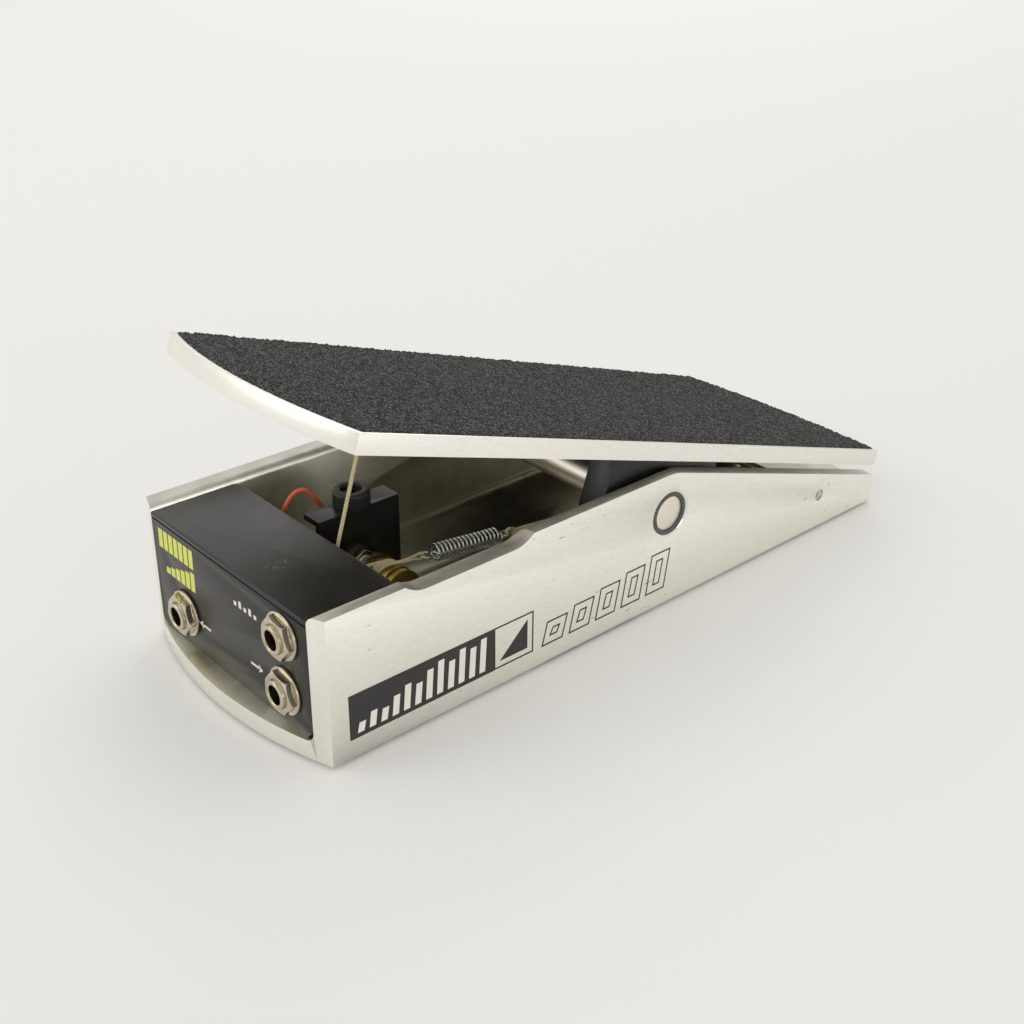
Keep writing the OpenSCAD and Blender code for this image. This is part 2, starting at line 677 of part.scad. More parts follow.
module pivot_bracket() {
    color([0.1, 0.1, 0.1]) on_board() difference() {
        union() {
            translate([-cheek_out_x, -bracket_half_l, web_n]) cube([2 * cheek_out_x, 2 * bracket_half_l, web_t]);
            slab_x(cheek_out_x - cheek_t, cheek_out_x) cheek_side();
            slab_x(-cheek_out_x, -cheek_out_x + cheek_t) cheek_side();
        }
        bar_x(-body_w, body_w, shaft_r);
        for (s = [-1, 1]) translate([s * (cheek_out_x - cheek_t / 2), 0, cheek_low_n - 1])
            cylinder(h = -cheek_low_n, r = m4_r, $fn = 32);
        for (p = board_screw_at) translate([p[0], p[1], cheek_low_n - 1]) {
            cylinder(h = board_drop - cheek_low_n + 2, r = m4_r, $fn = 32);
            cylinder(h = screw_seat_n - cheek_low_n + 1, r = m4_head_r, $fn = 32);
        }
    }
}

module pivot_shaft() {
    color("silver") on_board() {
        bar_x(-half_w + shaft_recess + shaft_chamfer, half_w - shaft_recess - shaft_chamfer, shaft_r);
        for (s = [-1, 1]) translate([s * (half_w - shaft_recess), 0, 0]) rotate([0, -90 * s, 0])
            cylinder(h = shaft_chamfer + eps, r1 = shaft_r - shaft_chamfer, r2 = shaft_r, $fn = 64);
    }
}

module shaft_screws() {
    color([0.1, 0.1, 0.1]) on_board() for (s = [-1, 1])
        translate([s * (cheek_out_x - cheek_t / 2), 0, cheek_low_n + 0.3]) difference() {
            cylinder(h = -cheek_low_n - shaft_r - 0.3, r = m4_r, $fn = 32);
            translate([0, 0, -eps]) cylinder(h = 1.2, r = 1.1, $fn = 6);
        }
}

module board_screws() {
    shank = board_drop - screw_seat_n + 3.5;
    color([0.1, 0.1, 0.1]) on_board() for (p = board_screw_at)
        translate([p[0], p[1], 0]) mirror([0, 0, 1]) cap_screw(-screw_seat_n, shank, 3);
}

function eye_x(s) = s < 0 ? toe_string_x : string_x;

// A screw eye under the footboard that holds a string end.
module eyelet(s) {
    color("silver") on_board() translate([eye_x(s), s, 0]) difference() {
        union() {
            translate([0, 0, eye_n - 0.3]) cylinder(h = board_drop - eye_n + 4, r = 1.2, $fn = 32);
            translate([0, 0, eye_n + 0.9]) cylinder(h = board_drop - eye_n - 0.9, r = 2.6, $fn = 32);
        }
        translate([0, 0, eye_n - 1]) cylinder(h = 1.4, r = 0.8, $fn = 32);
    }
}

module toe_eyelet() {
    eyelet(toe_eye_s);
}

module heel_eyelet() {
    eyelet(heel_eye_s);
}

base_channel();
rubber_feet();
pivot_bushings();
jack_plate();
jack_cover();
input_jack();
output_jack();
tuner_jack();
jack_washers();
jack_nuts();
pot_bracket();
pot_body();
pot_terminals();
pot_nut();
toe_bumper();
heel_bumper();
bumper_screws();
floor_screws();
floor_nuts();
signal_wire();
toe_guide_pin();
heel_guide_pin();
toe_string();
spring_string();
heel_string();
pot_shaft();
string_drum();
drum_screw();
string_turns();
spring_toe_loop();
spring_coil();
spring_heel_loop();
footboard();
grip_sheet();
pivot_bracket();
pivot_shaft();
shaft_screws();
board_screws();
toe_eyelet();
heel_eyelet();
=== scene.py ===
import contextlib
import json
import math
import random

import bpy
from bpy.props import FloatProperty, FloatVectorProperty, IntProperty, PointerProperty
from mathutils import Matrix, Vector


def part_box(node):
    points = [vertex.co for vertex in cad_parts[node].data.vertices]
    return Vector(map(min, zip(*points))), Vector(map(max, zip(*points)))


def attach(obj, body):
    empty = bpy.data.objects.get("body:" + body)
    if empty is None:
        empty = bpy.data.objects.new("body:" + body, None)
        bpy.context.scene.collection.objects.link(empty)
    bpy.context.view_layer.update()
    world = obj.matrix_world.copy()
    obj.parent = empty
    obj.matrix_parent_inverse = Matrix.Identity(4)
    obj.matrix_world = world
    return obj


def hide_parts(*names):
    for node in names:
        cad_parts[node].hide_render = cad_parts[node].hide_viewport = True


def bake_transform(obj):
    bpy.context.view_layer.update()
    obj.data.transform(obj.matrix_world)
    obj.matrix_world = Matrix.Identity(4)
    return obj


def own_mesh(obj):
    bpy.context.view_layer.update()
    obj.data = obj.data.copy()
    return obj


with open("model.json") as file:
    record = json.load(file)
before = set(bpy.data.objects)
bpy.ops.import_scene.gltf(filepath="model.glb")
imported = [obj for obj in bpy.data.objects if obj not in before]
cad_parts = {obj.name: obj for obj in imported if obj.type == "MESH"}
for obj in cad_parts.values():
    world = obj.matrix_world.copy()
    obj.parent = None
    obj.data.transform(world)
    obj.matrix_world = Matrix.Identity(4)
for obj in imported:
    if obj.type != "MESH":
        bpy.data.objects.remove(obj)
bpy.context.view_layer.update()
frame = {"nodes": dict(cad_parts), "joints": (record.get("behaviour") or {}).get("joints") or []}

bl_info = {
    "name": "Volume pedal",
    "version": (1, 0, 0),
    "blender": (4, 5, 0),
    "location": "3D View > Sidebar > Pedal",
    "description": "Finished pieces of a string-driven volume pedal around its packed frame",
    "category": "Object",
}

# ---------------------------------------------------------------- places
MM = 0.001
TOE_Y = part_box("base_channel")[0].y
BASE_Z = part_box("base_channel")[0].z
JOINTS = {j["name"]: j for j in frame["joints"]}
HINGE = Vector(JOINTS["treadle_tilt"]["pos_m"])
TILT = math.radians(JOINTS["treadle_tilt"]["range_deg"][1])
RUN = Vector(JOINTS["spring_toe_slide"]["axis"]).normalized()


def at(x, y, z):
    """A place given in mm across, from the toe end and up from the base's underside."""
    return Vector((x * MM, TOE_Y + y * MM, BASE_Z + z * MM))


def on_board(x, s, n):
    """A place given in mm about the hinge axis with the footboard level, s towards the heel."""
    c, k = math.cos(TILT), math.sin(TILT)
    return HINGE + Vector((x, s * c + n * k, n * c - s * k)) * MM


BOARD = Matrix.Translation(HINGE) @ Matrix.Rotation(-TILT, 4, "X")
WALL_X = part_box("base_channel")[1].x / MM
FLOOR_T = 6.35
HOLE_R = 8.0
PLATE_Y = 6.9
COVER_Z = 48.5
JACKS = (("input", -27, 18.3), ("output", 31, 18.4), ("tuner", 31.4, 37.9))
SLEEVE_R, PLUG_R, SLEEVE_OUT = 4.7, 3.2, 4.6
NUT_R, NUT_T, WASHER_R, WASHER_T = 7.33, 2.5, 7.9, 1.0
POT_Y, POT_Z, CORE_R = 59.2, 26.6, 6.2
STRING_X, TOE_STRING_X, TURN_X, TOP_Z = 12.6, 7.0, 9.8, 33.5
HEEL_PIN = (239.0, 13.7)
DROP = (TOP_Z - (HEEL_PIN[1] - 2.4)) / (HEEL_PIN[0] - POT_Y)
SCUFF = (11.5, 19)
# Where the cord meets each eyelet, along and up from the hinge.
TOE_EYE, HEEL_EYE = (-106.3, 15.9), (90, 15.9)
FRONT_PIN, WRAP_R, PIN_LEFT = (45, 36.5), 3, (42.15, 38.6)
TURN_COUNT, TURN_PITCH, TURN_R = 3, 1.4, CORE_R + 0.7
WOUND = (78.15, 105.85)
COIL_R, HOOK_REACH, HOOK_R = 2.75, 3.5, 2.1
PRINT_LIFT, PRINT_LINE = 0.012, 0.62
GRIT_STEP, SHEET_T, GRIT_FOOT = 0.62, 0.8, 0.05
CAMERA_AT, CAMERA_TURN, LENS_MM = (0.33553, -0.31398, 0.26461), (47.629, 27.248, 0.747), 49.42


def run_point(y, dx=0.0, dn=0.0):
    """A place on the line from the drum's top to the heel pin, moved sideways or square to it."""
    up = Vector((0, -RUN.z, RUN.y)) * dn * MM
    return at(STRING_X + dx, y, TOP_Z - (y - POT_Y) * DROP) + up


# ---------------------------------------------------------------- modelling
def activate(obj):
    """Selects one object alone and makes it the active one."""
    bpy.ops.object.select_all(action="DESELECT")
    obj.select_set(True)
    bpy.context.view_layer.objects.active = obj


@contextlib.contextmanager
def editing(obj, select="SELECT"):
    """Edit mode on one object, with everything or nothing selected."""
    activate(obj)
    bpy.ops.object.mode_set(mode="EDIT")
    bpy.ops.mesh.select_all(action=select)
    yield obj
    bpy.ops.object.mode_set(mode="OBJECT")


def modified(obj, kind, **settings):
    """Adds a modifier with its settings and applies it."""
    activate(obj)
    modifier = obj.modifiers.new(kind.lower(), kind)
    for key, value in settings.items():
        setattr(modifier, key, value)
    bpy.ops.object.modifier_apply(modifier=modifier.name)
    return obj


def placed(obj, matrix):
    """Bakes a place into the mesh and leaves the object at the origin."""
    obj.data.transform(matrix @ obj.matrix_world)
    obj.matrix_world = Matrix.Identity(4)
    return obj


def mesh_object(name, points, edges=(), faces=()):
    """A new object of the given points, edges and faces."""
    mesh = bpy.data.meshes.new(name)
    mesh.from_pydata([tuple(p) for p in points], list(edges), list(faces))
    obj = bpy.data.objects.new(name, mesh)
    bpy.context.scene.collection.objects.link(obj)
    return obj


def cleaned(obj):
    """Merges what lies together and turns all faces outwards."""
    with editing(obj):
        bpy.ops.mesh.remove_doubles(threshold=2e-6)
        bpy.ops.mesh.normals_make_consistent(inside=False)
    return obj


def joined(objects):
    """The given objects as one."""
    activate(objects[0])
    for obj in objects:
        obj.select_set(True)
    if len(objects) > 1:
        bpy.ops.object.join()
    return bpy.context.view_layer.objects.active


def turned(profile, steps=64):
    """A closed profile of (radius, height) in mm, spun about Z."""
    points = [(r * MM, 0, z * MM) for r, z in profile]
    loop = [(k, (k + 1) % len(points)) for k in range(len(points))]
    obj = mesh_object("turned", points, loop)
    with editing(obj):
        bpy.ops.mesh.spin(steps=steps, angle=math.tau, center=(0, 0, 0), axis=(0, 0, 1))
    return cleaned(obj)


def copy_of_node(node):
    """A merged copy of a frame node's mesh, with its flat faces made whole."""
    obj = bpy.data.objects.new("copy", frame["nodes"][node].data.copy())
    bpy.context.scene.collection.objects.link(obj)
    obj.data.materials.clear()
    with editing(obj):
        bpy.ops.mesh.remove_doubles(threshold=2e-6)
        bpy.ops.mesh.dissolve_limited(angle_limit=math.radians(0.4))
    return obj


def broken_edges(obj, width, segments=2, angle=32):
    """Breaks every edge sharper than the angle by a width in mm."""
    return modified(obj, "BEVEL", width=width * MM, segments=segments, limit_method="ANGLE",
                    angle_limit=math.radians(angle), use_clamp_overlap=True, miter_outer="MITER_ARC")


def finished(obj, name, body, material, nodes=(), smooth=35):
    """Names a piece, shades it, gives it its material and says what it moves with and stands for."""
    activate(obj)
    if smooth:
        bpy.ops.object.shade_smooth_by_angle(angle=math.radians(smooth))
    obj.name = name
    obj.data.name = name
    if not obj.data.materials:
        obj.data.materials.append(material)
    if body:
        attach(obj, body)
    if nodes:
        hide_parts(*nodes)
    return obj


def dressed(node, name, body, material, edge):
    """A frame node's own shape with its edges broken."""
    obj = copy_of_node(node)
    if edge:
        broken_edges(obj, edge)
    return finished(obj, name, body, material, [node])


def smooth_path(points, step):
    """Points about a step in mm apart on a smooth curve through the given points."""
    path = []
    for k in range(len(points) - 1):
        a, b = points[k], points[k + 1]
        before = points[k - 1] if k else a - (b - a)
        after = points[k + 2] if k + 2 < len(points) else b + (b - a)
        count = max(2, round((b - a).length / (step * MM)))
        for i in range(count):
            t = i / count
            path.append(0.5 * (2 * a + (b - before) * t + (2 * before - 5 * a + 4 * b - after) * t * t
                               + (3 * a - before - 3 * b + after) * t ** 3))
    return path + [points[-1]]


def tubes(paths, radius, closed=False, sides=2):
    """Round wires along the paths, as one mesh."""
    curve = bpy.data.curves.new("tubes", "CURVE")
    curve.dimensions = "3D"
    curve.bevel_depth = radius * MM
    curve.bevel_resolution = sides
    curve.use_fill_caps = not closed
    for path in paths:
        spline = curve.splines.new("POLY")
        spline.points.add(len(path) - 1)
        for point, place in zip(spline.points, path):
            point.co = (*place, 1)
        spline.use_cyclic_u = closed
    obj = bpy.data.objects.new("tubes", curve)
    bpy.context.scene.collection.objects.link(obj)
    activate(obj)
    bpy.ops.object.convert(target="MESH")
    return cleaned(bpy.context.view_layer.objects.active)


def strands(path, radius, pitch, across=Vector((1, 0, 0)), closed=False):
    """Three strand paths laid round a centre line, one turn each pitch in mm."""
    lengths = [0.0]
    for a, b in zip(path, path[1:]):
        lengths.append(lengths[-1] + (b - a).length)
    total = lengths[-1] + ((path[0] - path[-1]).length if closed else 0)
    turns = max(1, round(total / (pitch * MM)))
    laid = []
    for strand in range(3):
        line = []
        for k, place in enumerate(path):
            ahead = path[(k + 1) % len(path)] if closed else path[min(k + 1, len(path) - 1)]
            behind = path[k - 1] if closed or k else path[0]
            along = (ahead - behind).normalized()
            a = across.cross(along).normalized()
            b = along.cross(a)
            turn = math.tau * (turns * lengths[k] / total + strand / 3)
            line.append(place + (a * math.cos(turn) + b * math.sin(turn)) * radius * 0.5 * MM)
        laid.append(line)
    return laid


def laid_cord(paths, radius, pitch, closed=False):
    """Three-strand cord along each path, as one mesh."""
    lines = [line for path in paths for line in strands(path, radius, pitch, closed=closed)]
    return tubes(lines, radius * 0.53, closed, sides=1)


# ---------------------------------------------------------------- materials
def linear(code):
    """sRGB hex to linear RGBA."""
    values = [int(code[k:k + 2], 16) / 255 for k in (1, 3, 5)]
    return tuple(v / 12.92 if v <= 0.04045 else ((v + 0.055) / 1.055) ** 2.4 for v in values) + (1.0,)


def add(tree, kind, values=(), **settings):
    """Adds a node, with settings for its properties and links or values for its inputs, by name or in order."""
    made = tree.nodes.new(kind)
    for key, value in settings.items():
        setattr(made, key, value)
    for key, value in (values.items() if isinstance(values, dict) else enumerate(values)):
        if isinstance(value, bpy.types.NodeSocket):
            tree.links.new(value, made.inputs[key])
        else:
            made.inputs[key].default_value = value
    return made


def new_material(name, color, rough, metallic=0.0, **extra):
    """A material with its tree, its shader and its object coordinates."""
    material = bpy.data.materials.new(name)
    material.use_nodes = True
    tree = material.node_tree
    tree.nodes.clear()
    values = {"Base Color": color, "Roughness": rough, "Metallic": metallic, **extra}
    shader = add(tree, "ShaderNodeBsdfPrincipled", values)
    add(tree, "ShaderNodeOutputMaterial", {"Surface": shader.outputs[0]})
    place = add(tree, "ShaderNodeTexCoord").outputs["Object"]
    return material, tree, shader, place


def grains(tree, place, size_mm, detail=2.0, stretch=(1, 1, 1), rough=0.5):
    """A cloudy pattern of grains about a size in mm, longer by the stretch along each axis."""
    scale = [1 / (size_mm * MM * s) for s in stretch]
    mapped = add(tree, "ShaderNodeMapping", {"Vector": place, "Scale": scale}).outputs[0]
    return add(tree, "ShaderNodeTexNoise", {"Vector": mapped, "Scale": 1.0, "Detail": detail,
                                            "Roughness": rough}).outputs["Fac"]


def showing(tree, pattern, low, high, share, under, over):
    """One colour with a share of another showing where the pattern rises from low to high."""
    where = add(tree, "ShaderNodeMapRange", (pattern, low, high, 0.0, share)).outputs[0]
    return add(tree, "ShaderNodeMix", {"Factor": where, 6: under, 7: over}, data_type="RGBA").outputs[2]


def surface(tree, shader, color, rough=None, relief=None, depth_mm=0.0, strength=1.0):
    """Gives the shader its colour, its roughness and a relief some mm deep."""
    tree.links.new(color, shader.inputs["Base Color"])
    if rough:
        tree.links.new(rough, shader.inputs["Roughness"])
    if relief:
        values = {"Height": relief, "Distance": depth_mm * MM, "Strength": strength}
        tree.links.new(add(tree, "ShaderNodeBump", values).outputs[0], shader.inputs["Normal"])


def aluminium(name, light, dark, worn=0.7):
    """Aluminium plate, belt-brushed along the pedal: satin, fine long scratches, small dark nicks."""
    material, tree, shader, place = new_material(name, light, 0.34, 1.0)
    grain = grains(tree, place, 0.32, 3.0, (1, 12, 1), 0.6)
    cloud = grains(tree, place, 22, 2.0)
    nicks = grains(tree, place, 2.2, 4.0, rough=0.75)
    strokes = grains(tree, place, 0.7, 2.0, (1, 7, 1.6), 0.6)
    used = grains(tree, place, 30, 1.0)
    brushed = showing(tree, grain, 0.3, 0.7, 0.45, light, dark)
    nicked = showing(tree, nicks, 0.72, 0.75, worn, brushed, linear("#5d584e"))
    # Knocks gather in the patches that are handled most.
    knocks = add(tree, "ShaderNodeMapRange", (strokes, 0.69, 0.75, 0.0, worn)).outputs[0]
    patches = add(tree, "ShaderNodeMapRange", (used, 0.5, 0.6, 0.0, 1.0)).outputs[0]
    where = add(tree, "ShaderNodeMath", (knocks, patches), operation="MULTIPLY").outputs[0]
    color = add(tree, "ShaderNodeMix", {"Factor": where, 6: nicked, 7: linear("#77726a")},
                data_type="RGBA").outputs[2]
    fine = add(tree, "ShaderNodeMapRange", (grain, 0.3, 0.7, -0.05, 0.07)).outputs[0]
    broad = add(tree, "ShaderNodeMapRange", (cloud, 0.3, 0.7, 0.33, 0.42)).outputs[0]
    rough = add(tree, "ShaderNodeMath", (fine, broad), operation="ADD").outputs[0]
    surface(tree, shader, color, rough, grain, 0.012, 0.35)
    return material


def mill_finish(name, color, rough, streak):
    """Aluminium as rolled, cut or sawn and not brushed after: greyer, with its reflections smeared one way."""
    material, tree, shader, place = new_material(name, color, rough, 1.0)
    lines = grains(tree, place, 0.5, 3.0, streak, 0.6)
    stain = grains(tree, place, 9, 3.0)
    darker = tuple(c * 0.72 for c in color[:3]) + (1.0,)
    stained = showing(tree, stain, 0.4, 0.75, 0.6, color, darker)
    smeared = add(tree, "ShaderNodeMapRange", (lines, 0.3, 0.7, rough * 0.8, rough * 1.25)).outputs[0]
    surface(tree, shader, stained, smeared, lines, 0.01, 0.5)
    return material


def black_finish(name, color, haze_color, scuff=None):
    """A black coat, powder or anodised: faint orange peel and pale dust, and a scuff where a plug knocks it."""
    material, tree, shader, place = new_material(name, color, 0.42)
    peel = grains(tree, place, 0.5, 2.0)
    dust = grains(tree, place, 0.55, 0.0)
    haze = grains(tree, place, 14, 3.0)
    hazy = showing(tree, haze, 0.4, 0.8, 0.5, color, haze_color)
    dusty = showing(tree, dust, 0.8, 0.84, 0.5, hazy, linear("#8b857a"))
    if scuff:
        strokes = grains(tree, place, 0.5, 3.0, (1, 4, 1), 0.7)
        away = add(tree, "ShaderNodeVectorMath", (place, tuple(scuff)), operation="DISTANCE").outputs["Value"]
        near = add(tree, "ShaderNodeMapRange", (away, 1.5 * MM, 5.5 * MM, 1.0, 0.0)).outputs[0]
        knocks = add(tree, "ShaderNodeMapRange", (strokes, 0.58, 0.64, 0.0, 0.7)).outputs[0]
        where = add(tree, "ShaderNodeMath", (knocks, near), operation="MULTIPLY").outputs[0]
        dusty = add(tree, "ShaderNodeMix", {"Factor": where, 6: dusty, 7: linear("#a39e92")},
                    data_type="RGBA").outputs[2]
    rough = add(tree, "ShaderNodeMapRange", (haze, 0.3, 0.7, 0.27, 0.38)).outputs[0]
    surface(tree, shader, dusty, rough, peel, 0.015, 0.5)
    return material


def plated(name, color, rough, stain):
    """Bright metal, plated or drawn: polished, with a little staining."""
    material, tree, shader, place = new_material(name, color, rough, 1.0)
    cloud = grains(tree, place, 2.5, 4.0, rough=0.65)
    stained = showing(tree, cloud, 0.45, 0.75, 0.6, color, stain)
    dulled = add(tree, "ShaderNodeMapRange", (cloud, 0.3, 0.7, rough * 0.8, rough * 1.5)).outputs[0]
    surface(tree, shader, stained, dulled, grains(tree, place, 0.3), 0.006, 0.4)
    return material


def moulded(name, color, rough, worn, grain_mm=0.6):
    """Moulded rubber or nylon: matt, with a fine grain and a paler bloom."""
    material, tree, shader, place = new_material(name, color, rough)
    bloom = grains(tree, place, 4, 4.0)
    bloomed = showing(tree, bloom, 0.4, 0.8, 0.5, color, worn)
    surface(tree, shader, bloomed, None, grains(tree, place, grain_mm, 3.0), 0.04, 0.6)
    return material


def grit(name, color, glint):
    """Mineral grit bonded to a black sheet: near black, with a few grains painted paler as glints off their faces.
    """
    material, tree, shader, place = new_material(name, color, 0.8)
    # Grains of 1 / 2.3 mm, about as fine as still shows.
    mapped = add(tree, "ShaderNodeVectorMath", (place, (1 / MM,) * 3), operation="MULTIPLY").outputs[0]
    cells = add(tree, "ShaderNodeTexVoronoi", {"Vector": mapped, "Scale": 2.3})
    lot = add(tree, "ShaderNodeSeparateColor", {"Color": cells.outputs["Color"]}).outputs[0]
    # Paler grains are painted glints, besides being made glossier.
    glinting = showing(tree, lot, 0.6, 1.0, 0.9, color, glint)
    rough = add(tree, "ShaderNodeMapRange", (lot, 0.0, 1.0, 0.9, 0.45)).outputs[0]
    surface(tree, shader, glinting, rough, cells.outputs["Distance"], 0.35, 0.9)
    return material


def fibre(name, color, dark):
    """Laid cotton cord: matt cream fibres, some darker at random."""
    material, tree, shader, place = new_material(name, color, 0.85, **{"Sheen Weight": 0.3})
    hair = grains(tree, place, 0.25, 3.0)
    surface(tree, shader, showing(tree, hair, 0.35, 0.7, 0.6, color, dark), None, hair, 0.05, 0.7)
    return material


def ink(name, color):
    """Screen-printed ink: flat, slightly broken where it has worn."""
    material, tree, shader, place = new_material(name, color, 0.5)
    wear = grains(tree, place, 1.2, 4.0, rough=0.7)
    worn = tuple(c * 0.7 + 0.06 for c in color[:3]) + (1.0,)
    surface(tree, shader, showing(tree, wear, 0.62, 0.72, 0.6, color, worn))
    return material


def turned_metal(name, color, rough, center, ring_mm=0.35):
    """Steel faced on a lathe: fine rings about the axis through a place, as a tool leaves them."""
    material, tree, shader, place = new_material(name, color, rough, 1.0)
    local = add(tree, "ShaderNodeVectorMath", (place, tuple(center)), operation="SUBTRACT").outputs[0]
    flat = add(tree, "ShaderNodeVectorMath", (local, (0.0, 1.0, 1.0)), operation="MULTIPLY").outputs[0]
    out = add(tree, "ShaderNodeVectorMath", (flat,), operation="LENGTH").outputs["Value"]
    turns = add(tree, "ShaderNodeMath", (out, math.tau / (ring_mm * MM)), operation="MULTIPLY").outputs[0]
    rings = add(tree, "ShaderNodeMath", (turns,), operation="SINE").outputs[0]
    ringed = add(tree, "ShaderNodeMapRange", (rings, -1, 1, rough * 0.8, rough * 1.3)).outputs[0]
    tree.links.new(ringed, shader.inputs["Roughness"])
    relief = add(tree, "ShaderNodeBump", {"Height": rings, "Distance": 0.004 * MM, "Strength": 0.4})
    tree.links.new(relief.outputs[0], shader.inputs["Normal"])
    return material


MATERIALS = {}


def make_materials(looks):
    """One material for each real finish on the pedal."""
    metal, dark = tuple(looks.aluminium), tuple(looks.aluminium_dark)
    MATERIALS.update(
        base=aluminium("aluminium_belt_brushed", metal, dark),
        board=aluminium("aluminium_plate_brushed", metal, dark, 0.35),
        mill=mill_finish("aluminium_mill_rolled", linear("#dcd8c6"), 0.36, (1, 40, 1)),
        flare=mill_finish("aluminium_countersunk", linear("#f6f3ec"), 0.12, (1, 1, 1)),
        sawn=mill_finish("aluminium_sawn_edge", linear("#d6d3ca"), 0.5, (1, 20, 1)),
        coat=black_finish("steel_black_powder_coat", tuple(looks.coat), linear("#302e29"), at(*SCUFF, COVER_Z)),
        # The anodised black also stands as painted shade on the cover's front lip.
        anodised=black_finish("aluminium_black_anodised", linear("#100f0e"), linear("#1d1b19")),
        nickel=plated("brass_nickel_plated", linear("#cfc6b3"), 0.13, linear("#998660")),
        steel=plated("steel_bright_drawn", linear("#c2c0b8"), 0.25, linear("#8f8b80")),
        spring=plated("steel_spring_wire", linear("#d5d7d4"), 0.24, linear("#a3a49e")),
        black_steel=plated("steel_black_oxide", linear("#2a2826"), 0.4, linear("#3c3833")),
        brass=plated("brass_turned_tarnished", linear("#b39a55"), 0.3, linear("#7d6d3a")),
        tinned=plated("brass_tinned", linear("#b9ab84"), 0.35, linear("#8c7a4e")),
        rubber=moulded("rubber_moulded_black", linear("#1d1a17"), 0.5, linear("#332d27")),
        nylon=moulded("nylon_turned_black", linear("#484a4b"), 0.4, linear("#5c5e5f"), 0.4),
        jacket=moulded("wire_jacket_orange", linear("#cf5a34"), 0.38, linear("#dc7b54"), 0.4),
        grit=grit("grip_mineral_black", tuple(looks.grit), linear("#66645e")),
        cord=fibre("cotton_cord_cream", tuple(looks.cord), linear("#b39f6d")),
        shaft=turned_metal("steel_shaft_faced", linear("#f0e8dc"), 0.34, HINGE),
        print_black=ink("ink_black", linear("#262523")),
        print_white=ink("ink_white", linear("#e9e6dc")),
        print_lime=ink("ink_lime", linear("#d9de62")),
    )


# ---------------------------------------------------------------- printed shapes
def flat_shapes(polygons, to_place, lift):
    """Flat polygons given in mm on a face, as one thin print."""
    points, faces = [], []
    for polygon in polygons:
        faces.append(list(range(len(points), len(points) + len(polygon))))
        points += [to_place(u, v, lift) for u, v in polygon]
    return mesh_object("print", points, (), faces)


def box_shape(u0, v0, u1, v1, lean=0.0):
    """A rectangle whose top leans over by some mm."""
    return [(u0, v0), (u1, v0), (u1 + lean, v1), (u0 + lean, v1)]


def outline_shapes(polygon, width):
    """The sides of a convex polygon, given anticlockwise, as mitred strips of a width in mm."""
    count = len(polygon)
    inner = []
    for k in range(count):
        here, before, after = (Vector(polygon[i % count]) for i in (k, k - 1, k + 1))
        a, b = (here - before).normalized(), (after - here).normalized()
        a, b = Vector((-a.y, a.x)), Vector((-b.y, b.x))
        inner.append(tuple(here + (a + b) * width / (1 + a.dot(b))))
    return [[polygon[k], polygon[(k + 1) % count], inner[(k + 1) % count], inner[k]] for k in range(count)]


def on_wall(u, v, lift):
    """A place on the side wall, lifted off it."""
    return at(WALL_X + lift, u, v)


def on_plate(u, v, lift):
    """A place on the jack plate, lifted off it."""
    return at(u, PLATE_Y - lift, v)


class PedalLooks(bpy.types.PropertyGroup):
    """Sizes and colours of the finished pieces."""

    edge: FloatProperty(name="Edge break", description="Width of the broken edges of the aluminium",
                        default=0.35, min=0.1, max=0.6)
    cord_radius: FloatProperty(name="Cord radius", description="Radius of the drive cord in mm",
                               default=0.68, min=0.4, max=0.75)
    cord_pitch: FloatProperty(name="Cord lay", description="Length of one turn of the cord's strands in mm",
                              default=3.4, min=2.0, max=6.0)
    spring_turns: IntProperty(name="Spring turns", description="Turns of wire in the tension spring",
                              default=16, min=8, max=18)
    spring_wire: FloatProperty(name="Spring wire", description="Radius of the spring's wire in mm",
                               default=0.42, min=0.3, max=0.6)
    grain: FloatProperty(name="Grit size", description="Size of the grains of the grip sheet in mm",
                         default=1.1, min=0.6, max=2.0)
    aluminium: FloatVectorProperty(name="Aluminium", description="Colour of the brushed metal",
                                   subtype="COLOR", size=4, min=0, max=1, default=linear("#faf8f1"))
    aluminium_dark: FloatVectorProperty(name="Aluminium in the grain", description="Colour down in the brushing",
                                        subtype="COLOR", size=4, min=0, max=1, default=linear("#dedad0"))
    coat: FloatVectorProperty(name="Powder coat", description="Colour of the jack box",
                              subtype="COLOR", size=4, min=0, max=1, default=linear("#1b1916"))
    grit: FloatVectorProperty(name="Grit", description="Colour of the grip sheet",
                              subtype="COLOR", size=4, min=0, max=1, default=linear("#191918"))
    cord: FloatVectorProperty(name="Cord", description="Colour of the drive cord",
                              subtype="COLOR", size=4, min=0, max=1, default=linear("#e3d6ab"))


class PEDAL_OT_channel(bpy.types.Operator):
    """Make the base channel, its rubber feet and the screws and nuts in its floor"""

    bl_idname = "pedal.channel"
    bl_label = "Base channel"

    def execute(self, context):
        looks = context.scene.pedal_looks
        channel = dressed("base_channel", "channel", "base", MATERIALS["base"], looks.edge)
        for finish in ("mill", "sawn", "flare"):
            channel.data.materials.append(MATERIALS[finish])
        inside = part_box("jack_plate")[1].x
        floor_top = at(0, 0, FLOOR_T).z
        for face in channel.data.polygons:
            place, way = face.center, face.normal
            out = math.hypot(place.y - HINGE.y, place.z - HINGE.z)
            if HOLE_R * 1.005 < out / MM < HOLE_R + 1.1 and 0.2 < abs(way.x) < 0.98:
                face.material_index = 3
            elif way.z > 0.5 and place.z > floor_top + 2 * MM:
                face.material_index = 2
            elif abs(place.x) < inside + 0.3 * MM and place.z > floor_top - 0.3 * MM:
                face.material_index = 1
        dressed("rubber_feet", "feet", "base", MATERIALS["rubber"], 0.3)
        dressed("floor_screws", "underside_screws", "base", MATERIALS["black_steel"], 0)
        dressed("floor_nuts", "floor_nut_set", "base", MATERIALS["nickel"], 0.2)
        return {"FINISHED"}


